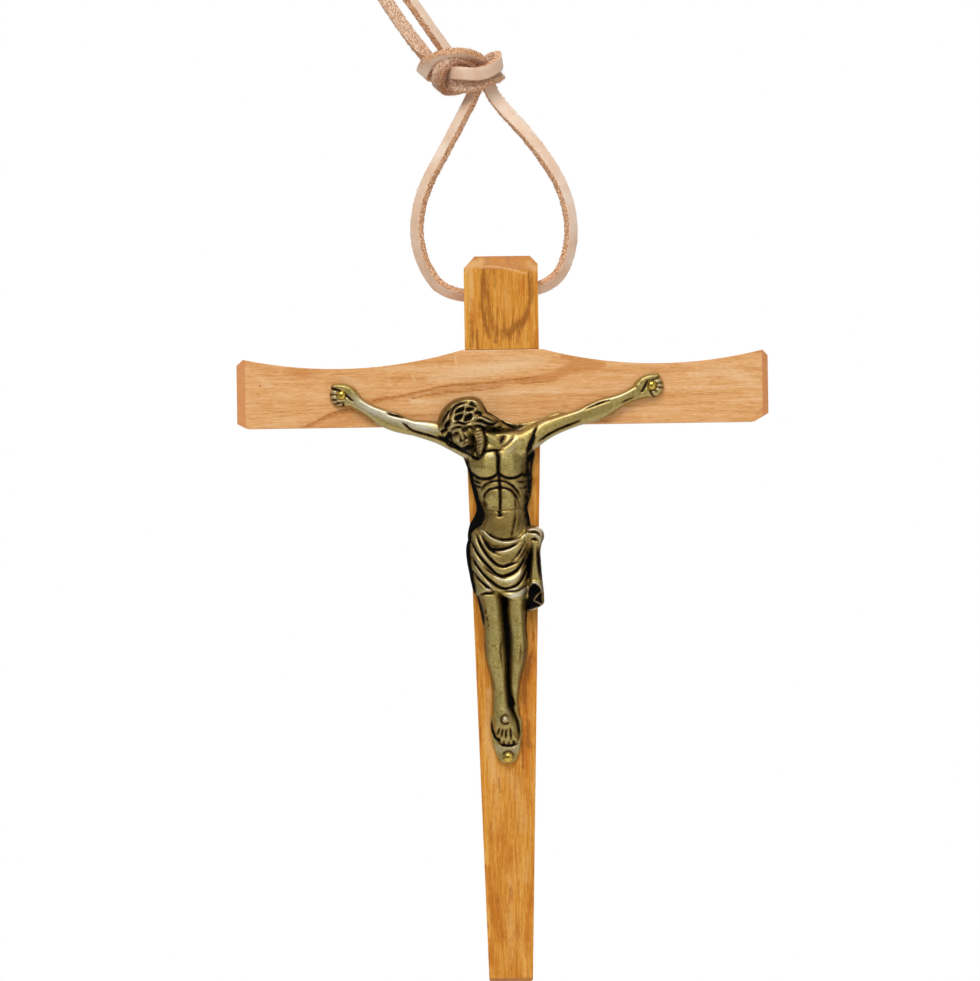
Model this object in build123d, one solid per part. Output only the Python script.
from build123d import *
import math
import os

os.makedirs("parts", exist_ok=True)

# All sizes in millimetres. Sketch positions are measured from the crossing of the two sticks:
# x to the viewer's right, z up the post, y from the front (minus) to the back (plus).

# Wood
wood_thick = 12.0          # both sticks, flush at front and back
post_width = 18.3          # straight part
post_top = 32.7            # above the crossing
post_bottom = -147.3
post_foot = 10.7           # width at the lower end, after the taper
taper_start = -12.0
bar_half = 65.7            # half the crossbar's length
bar_low = -9.1             # straight lower edge
bar_high = 9.5             # flat middle of the upper edge
bar_flat = 10.0            # half the length of that flat
bar_left_end = 8.3         # upper edge at the two tips
bar_right_end = 8.9
bar_left_waist = 5.3       # lowest places of the scooped upper edge
bar_right_waist = 5.6
lap_gap = 0.1              # glue line round the halving joint

# Thong of flat leather lace, its hole, and the loop it makes
lace_wide = 3.2
lace_thick = 1.9
lace_roll = 37.0           # how far the grain side is turned from straight down to the front, in degrees
hole_z = 23.7
hole_clear = 0.8           # hole radius beyond the lace's corners
hook_x = -3.5              # where a wall hook sits, under the knot
hook_z = 69.0

# Brass pins
shank_r = 0.6
pin_fit = 0.05             # slip allowance in the drilled wood
pin_hole_r = 0.75          # in the casting
pin_length = 7.0           # from under the head to the point
hand_head_r = 1.1
foot_head_r = 1.2
head_rise = 0.8
left_nail = (-39.7, -1.3)
right_nail = (36.9, 0.0)
foot_nail = (0.1, -91.2)

# Casting
hand_seat = 1.5            # metal under a hand pin's head
tab_thick = 1.2

front = -wood_thick / 2
back = wood_thick / 2
half = post_width / 2
hole_r = math.hypot(lace_wide, lace_thick) / 2 + hole_clear


def placed(shape):
    """Move a shape from the crossing to the hook point, the origin of the part."""
    return Pos(-hook_x, 0, -hook_z) * shape


def facet(solid, point, outward):
    """Knife cut: take away all that lies beyond a plane."""
    knife = Plane(origin=point, z_dir=outward) * Rectangle(120, 120)
    return solid - extrude(knife, amount=40)


def flat_stick(outline):
    """Stick of the wood's thickness from an outline in x and z."""
    face = make_face(outline)
    return extrude(Plane.XZ * face, amount=back) + extrude(Plane.XZ * face, amount=front)


def bore(x, z, radius, length):
    """Round hole from the front face into the wood."""
    drill = Cylinder(radius, length + 2, align=(Align.CENTER, Align.CENTER, Align.MIN))
    return Pos(x, front - 2, z) * Rot(-90, 0, 0) * drill


# Post: one stick, tapered below the crossing, notched over half its thickness for the crossbar
post_outline = Polyline(
    (-half, taper_start),
    (-half, post_top),
    (half, post_top),
    (half, taper_start),
    (post_foot / 2, post_bottom),
    (-post_foot / 2, post_bottom),
    close=True,
)
post = flat_stick(post_outline)
post = facet(post, (-half + 1.35, 0, post_top - 1.55), (-3.1, 0, 2.7))
post = facet(post, (half - 0.95, 0, post_top - 1.05), (2.1, 0, 1.9))
post = facet(post, (0, front, post_top - 3.4), (0.12, -3.4, 2.0))
post = facet(post, (0, back, post_top - 2.0), (0, 2.0, 1.4))
post = facet(post, (0, front, post_bottom + 1.6), (0, -1.6, -1.2))
post = facet(post, (0, back, post_bottom + 1.4), (0, 1.4, -1.2))
post = facet(post, (-post_foot / 2 + 0.6, 0, post_bottom + 0.5), (-1.0, 0, -1.2))
post = facet(post, (post_foot / 2 - 0.6, 0, post_bottom + 0.5), (1.0, 0, -1.2))
notch_high = bar_high - bar_low + 2 * lap_gap
notch = Box(post_width + 4, wood_thick, notch_high, align=(Align.CENTER, Align.MAX, Align.MIN))
post -= Pos(0, lap_gap / 2, bar_low - lap_gap) * notch
post -= Pos(0, 0, hole_z) * Rot(0, 90, 0) * Cylinder(hole_r, post_width + 4)
for side in (-1, 1):
    mouth = Cone(hole_r + 1.2, hole_r - 0.4, 1.6)
    post -= Pos(side * (half - 0.4), 0, hole_z) * Rot(0, -90 * side, 0) * mouth

# Crossbar: straight below, scooped above, notched behind so that it sits flush in the post
bar_outline = [
    Line((-bar_half, bar_low), (bar_half, bar_low)),
    Line((bar_half, bar_low), (bar_half, bar_right_end)),
    ThreePointArc((bar_half, bar_right_end), (36.5, bar_right_waist), (bar_flat, bar_high)),
    Line((bar_flat, bar_high), (-bar_flat, bar_high)),
    ThreePointArc((-bar_flat, bar_high), (-40.0, bar_left_waist), (-bar_half, bar_left_end)),
    Line((-bar_half, bar_left_end), (-bar_half, bar_low)),
]
crossbar = flat_stick(bar_outline)
crossbar = facet(crossbar, (-bar_half + 1.1, 0, bar_left_end - 0.9), (-1.85, 0, 2.2))
crossbar = facet(crossbar, (-bar_half + 1.1, 0, bar_low + 0.6), (-1.2, 0, -2.2))
crossbar = facet(crossbar, (-bar_half + 2.2, front, 0), (-1.5, -2.2, 0))
crossbar = facet(crossbar, (-bar_half + 1.6, back, 0), (-1.4, 1.6, 0))
crossbar = facet(crossbar, (bar_half - 0.85, 0, bar_right_end - 0.85), (1.7, 0, 1.7))
crossbar = facet(crossbar, (bar_half - 1.75, 0, bar_low + 1.0), (2.0, 0, -3.5))
crossbar = facet(crossbar, (bar_half - 1.5, front, 0), (1.4, -1.5, 0))
crossbar = facet(crossbar, (bar_half - 1.6, back, 0), (1.4, 1.6, 0))
seat_wide = post_width + 2 * lap_gap
seat = Box(seat_wide, wood_thick, 60, align=(Align.CENTER, Align.MIN, Align.CENTER))
crossbar -= Pos(0, -lap_gap / 2, 0) * seat

# Pilot holes for the pins
crossbar -= bore(*left_nail, shank_r + pin_fit, pin_length - hand_seat + 0.4)
crossbar -= bore(*right_nail, shank_r + pin_fit, pin_length - hand_seat + 0.4)
post -= bore(*foot_nail, shank_r + pin_fit, pin_length - tab_thick + 0.4)


def pin(place, seat_height, head_r):
    """Pin with a domed head that sits on the casting."""
    low = (Align.CENTER, Align.CENTER, Align.MIN)
    high = (Align.CENTER, Align.CENTER, Align.MAX)
    point_long = 1.4
    shank = Cylinder(shank_r, pin_length - point_long, align=high)
    point = Pos(0, 0, point_long - pin_length) * Cone(0.1, shank_r, point_long, align=high)
    dome_r = (head_r**2 + head_rise**2) / (2 * head_rise)
    dome = Pos(0, 0, head_rise - dome_r) * Sphere(dome_r)
    domed_head = Cylinder(head_r, head_rise + 1, align=low) & dome
    return Pos(place[0], front - seat_height, place[1]) * Rot(90, 0, 0) * (shank + point + domed_head)


left_pin = pin(left_nail, hand_seat, hand_head_r)
right_pin = pin(right_nail, hand_seat, hand_head_r)
foot_pin = pin(foot_nail, tab_thick, foot_head_r)


# Corpus: a flat-backed casting. Every limb is lofted through half-round sections that stand on the
# plane of the wood's front face; each station gives x, z, half width and height off the wood.
def limb(stations):
    """Loft a limb that lies along its stations."""
    sections = []
    last = len(stations) - 1
    for i, (x, z, wide, high) in enumerate(stations):
        before = stations[max(i - 1, 0)]
        after = stations[min(i + 1, last)]
        along = (after[0] - before[0], 0, after[1] - before[1])
        plane = Plane(origin=(x, front, z), x_dir=(0, 1, 0), z_dir=along)
        sections.append(plane * Ellipse(high, wide))
    return loft(sections)


def knob(x, z, wide, high, tall):
    """Half egg standing on the wood's front plane."""
    return Pos(x, front, z) * scale(Sphere(1), by=(wide, high, tall))


def rod(points, depths, radius):
    """Round bar through three points, given by place and by height off the wood."""
    spots = [(x, front - depth, z) for (x, z), depth in zip(points, depths)]
    path = ThreePointArc(*spots)
    return sweep(Plane(origin=path @ 0, z_dir=path % 0) * Circle(radius), path)


torso = limb([
    (0.2, -12.2, 5.2, 4.2),
    (-0.8, -16.6, 8.4, 5.6),
    (-0.9, -20.2, 8.0, 5.9),
    (-0.5, -25.2, 7.3, 5.3),
    (-0.5, -30.0, 6.4, 4.6),
    (-0.7, -35.0, 6.6, 4.7),
    (-0.7, -41.0, 6.0, 4.6),
])
cloth = limb([
    (-0.9, -32.6, 7.6, 5.0),
    (-0.9, -38.0, 8.7, 6.1),
    (-0.9, -43.0, 8.5, 6.2),
    (-0.9, -48.0, 7.5, 6.0),
    (-1.0, -51.6, 6.6, 5.6),
])
cloth -= Pos(-0.3, front, -31.9) * Rot(90, 0, 0) * Cylinder(6.0, 30)
left_arm = limb([
    (-42.2, -1.2, 2.0, 1.3),
    (-40.2, -1.3, 2.7, 1.9),
    (-38.0, -2.0, 2.4, 2.0),
    (-35.6, -3.4, 1.5, 2.1),
    (-32.6, -5.3, 1.75, 2.4),
    (-29.2, -7.0, 2.05, 2.7),
    (-23.4, -9.0, 1.85, 2.7),
    (-16.1, -11.3, 2.2, 3.2),
    (-11.0, -13.2, 2.8, 3.8),
    (-5.0, -16.0, 3.6, 4.4),
])
right_arm = limb([
    (39.6, -0.1, 2.0, 1.3),
    (37.4, -0.2, 2.7, 1.9),
    (35.2, -0.8, 2.4, 2.0),
    (32.4, -2.1, 1.5, 2.1),
    (28.2, -4.0, 1.9, 2.4),
    (24.5, -5.5, 2.2, 2.7),
    (18.6, -7.6, 1.85, 2.7),
    (12.6, -9.8, 2.2, 3.2),
    (7.6, -12.2, 2.8, 3.8),
    (3.0, -15.0, 3.6, 4.4),
])
left_leg = limb([
    (-4.0, -48.5, 3.6, 4.9),
    (-3.6, -54.5, 2.9, 4.6),
    (-3.1, -60.0, 2.4, 4.4),
    (-2.8, -65.0, 2.6, 3.9),
    (-2.1, -71.0, 1.95, 3.4),
    (-1.8, -76.0, 1.9, 3.1),
    (-1.3, -80.0, 2.4, 3.2),
    (-0.5, -84.2, 3.2, 2.9),
    (0.1, -87.9, 2.3, 1.9),
])
right_leg = limb([
    (3.0, -48.5, 3.0, 4.7),
    (2.8, -54.5, 2.5, 4.4),
    (3.0, -60.5, 2.05, 4.2),
    (3.1, -65.0, 2.15, 3.7),
    (2.3, -71.0, 1.4, 3.1),
    (2.0, -76.5, 1.0, 2.6),
    (2.2, -81.0, 1.2, 2.2),
])
head = Pos(-9.4, front - 1.8, -8.8) * scale(Sphere(1), by=(6.6, 6.4, 6.6))
face = limb([
    (-9.8, -7.0, 3.9, 8.2),
    (-8.2, -11.0, 3.7, 8.2),
    (-6.9, -14.4, 2.6, 7.2),
    (-5.6, -17.0, 0.9, 5.4),
])
hair = limb([
    (-6.0, -7.4, 2.4, 6.4),
    (-2.6, -8.9, 2.0, 5.6),
    (0.6, -11.0, 1.4, 4.8),
    (2.6, -12.4, 0.7, 4.2),
])
crown = Pos(-9.4, front - 4.4, -8.0) * Rot(32, -20, 0) * Torus(5.7, 0.95)
cloth_knot = knob(7.5, -36.9, 2.2, 5.4, 3.0)
flap = limb([
    (7.0, -37.0, 1.5, 4.8),
    (7.2, -44.0, 1.6, 4.6),
    (7.4, -50.0, 2.0, 4.2),
    (7.4, -54.4, 2.1, 3.4),
])
folds = [
    rod([(-6.6, -34.6), (0.4, -38.6), (6.4, -36.0)], [4.2, 6.1, 5.0], 0.75),
    rod([(-7.9, -36.4), (0.4, -42.2), (6.6, -36.6)], [3.7, 6.2, 5.0], 0.7),
    rod([(-8.4, -38.6), (0.8, -45.2), (6.9, -37.4)], [3.4, 6.2, 5.0], 0.7),
    rod([(-8.4, -41.4), (1.4, -48.0), (7.1, -38.4)], [3.0, 5.9, 5.0], 0.7),
]
boss = Pos(-0.5, front - 3.0, -81.7) * scale(Sphere(1), by=(0.85, 0.9, 0.85))
tab_outline = Polyline(
    (-3.9, -80.0),
    (-3.9, -86.9),
    (-3.2, -89.4),
    (-1.9, -92.3),
    (1.9, -92.3),
    (3.0, -89.4),
    (3.6, -84.0),
    (3.6, -80.0),
    close=True,
)
tab = Pos(0, front, 0) * extrude(Plane.XZ * make_face(tab_outline), amount=tab_thick)

corpus = torso + [left_arm, right_arm, left_leg, right_leg, head, face, hair, crown]
corpus += [cloth, cloth_knot, flap, boss, tab] + folds
corpus -= Pos(0, front, -40) * Box(120, 40, 140, align=(Align.CENTER, Align.MIN, Align.CENTER))

# Chased lines: breastbone, breast, rib arch, upper edge of the cloth, navel, mouth of the flap
corpus -= rod([(-0.9, -15.4), (-1.0, -22.0), (-0.7, -29.6)], [5.2, 5.8, 4.7], 0.5)
corpus -= rod([(-7.6, -20.4), (-4.2, -22.3), (-1.2, -20.9)], [3.3, 5.2, 5.9], 0.5)
corpus -= rod([(5.4, -20.2), (2.4, -22.2), (-0.8, -20.9)], [3.7, 5.3, 5.9], 0.5)
corpus -= rod([(-4.9, -26.6), (-0.9, -23.6), (3.6, -26.4)], [4.1, 5.6, 4.3], 0.45)
corpus -= Pos(-0.6, front - 4.9, -31.2) * Sphere(0.55)
corpus -= Pos(7.4, front - 4.0, -54.4) * scale(Sphere(1), by=(1.1, 1.6, 1.9))

# Gaps between the fingers and between the toes
for x, z, turn in ((-41.6, -2.4, 8), (-41.8, -0.9, 0), (-41.6, 0.6, -8)):
    corpus -= Pos(x, front - 1.9, z) * Rot(0, turn, 0) * Box(3.2, 1.3, 0.35)
for x, z, turn in ((39.0, -1.3, -8), (39.2, 0.2, 0), (39.0, 1.6, 8)):
    corpus -= Pos(x, front - 1.9, z) * Rot(0, turn, 0) * Box(3.2, 1.3, 0.35)
for x in (-1.2, -0.2, 0.8, 1.7):
    corpus -= Pos(x, front - 2.6, -86.6) * Box(0.3, 1.6, 3.0)

# Seats and holes for the pins
hand_seat_r = hand_head_r + 0.15
foot_seat_r = foot_head_r + 0.15
for x, z in (left_nail, right_nail):
    corpus -= Pos(x, front - hand_seat - 2, z) * Rot(90, 0, 0) * Cylinder(hand_seat_r, 4)
corpus -= Pos(foot_nail[0], front - tab_thick - 2, foot_nail[1]) * Rot(90, 0, 0) * Cylinder(foot_seat_r, 4)
for x, z in (left_nail, right_nail, foot_nail):
    corpus -= Pos(x, front, z) * Rot(90, 0, 0) * Cylinder(pin_hole_r, 16)


# Thong: two stretches that meet in the middle of the hole, each through a leg of the loop and the
# knot to a tail. Points are x, y, z from the crossing; the knot is a doubled overhand knot.
left_points = [
    (0.0, 0.0, 23.7),
    (-13.2, 0.0, 22.7),
    (-21.0, 0.0, 34.0),
    (-20.2, 0.0, 47.5),
    (-11.4, 0.0, 61.0),
    (-6.6, 0.0, 72.0),
    (-3.2, 0.8, 79.8),
    (-5.4, -2.6, 82.6),
    (-11.4, -4.6, 83.0),
    (-17.6, -5.0, 80.9),
    (-18.8, 0.4, 77.8),
    (-13.4, 4.0, 78.2),
    (-6.0, 4.2, 78.8),
    (-0.8, 2.4, 82.4),
    (-1.6, -5.0, 81.2),
    (-9.6, -4.8, 77.0),
    (-14.8, 0.4, 79.6),
    (-21.0, 0.2, 86.4),
    (-27.4, 0.0, 95.8),
    (-33.6, 0.0, 106.4),
]
right_points = [
    (0.0, 0.0, 23.7),
    (12.4, 0.0, 23.7),
    (18.2, 0.0, 35.0),
    (16.8, 0.0, 48.6),
    (7.6, 0.0, 61.6),
    (-2.0, 0.2, 73.0),
    (-2.8, 1.6, 79.4),
    (-9.0, -2.0, 81.4),
    (-13.8, -5.0, 80.6),
    (-15.2, -4.2, 73.6),
    (-11.6, 2.2, 74.0),
    (-5.6, 4.2, 76.0),
    (0.4, 3.2, 77.4),
    (-0.4, -3.2, 77.4),
    (-7.0, -3.2, 74.2),
    (-14.2, -0.8, 76.6),
    (-12.8, 3.0, 81.0),
    (-13.8, 1.4, 87.6),
    (-20.9, 0.0, 96.2),
    (-27.6, 0.0, 105.4),
]


def strip(points):
    """Flat lace along straight runs joined by tangent arcs."""
    spots = [Vector(*p) for p in points]
    runs = [b - a for a, b in zip(spots, spots[1:])]
    radii = []
    for a, b in zip(runs, runs[1:]):
        turn = math.radians(a.get_angle(b))
        radii.append(0.45 * min(a.length, b.length) / math.tan(turn / 2))
    print("thong bend radii:", [round(r, 1) for r in radii])
    path = FilletPolyline(*spots, radius=radii)
    roll = math.radians(lace_roll)
    across = (0, math.cos(roll), -math.sin(roll))
    start = Plane(origin=spots[0], x_dir=across, z_dir=runs[0])
    solid = sweep(start * Rectangle(lace_wide, lace_thick), path)
    full = lace_wide * lace_thick * path.length
    print("thong volume over section times length:", round(solid.volume / full, 4))
    return solid


left_thong = strip(left_points)
right_thong = strip(right_points)

nodes = {
    "post": post,
    "crossbar": crossbar,
    "corpus": corpus,
    "left_hand_nail": left_pin,
    "right_hand_nail": right_pin,
    "foot_nail": foot_pin,
    "thong_left": left_thong,
    "thong_right": right_thong,
}
for name, shape in nodes.items():
    export_step(placed(shape), f"parts/{name}.step")
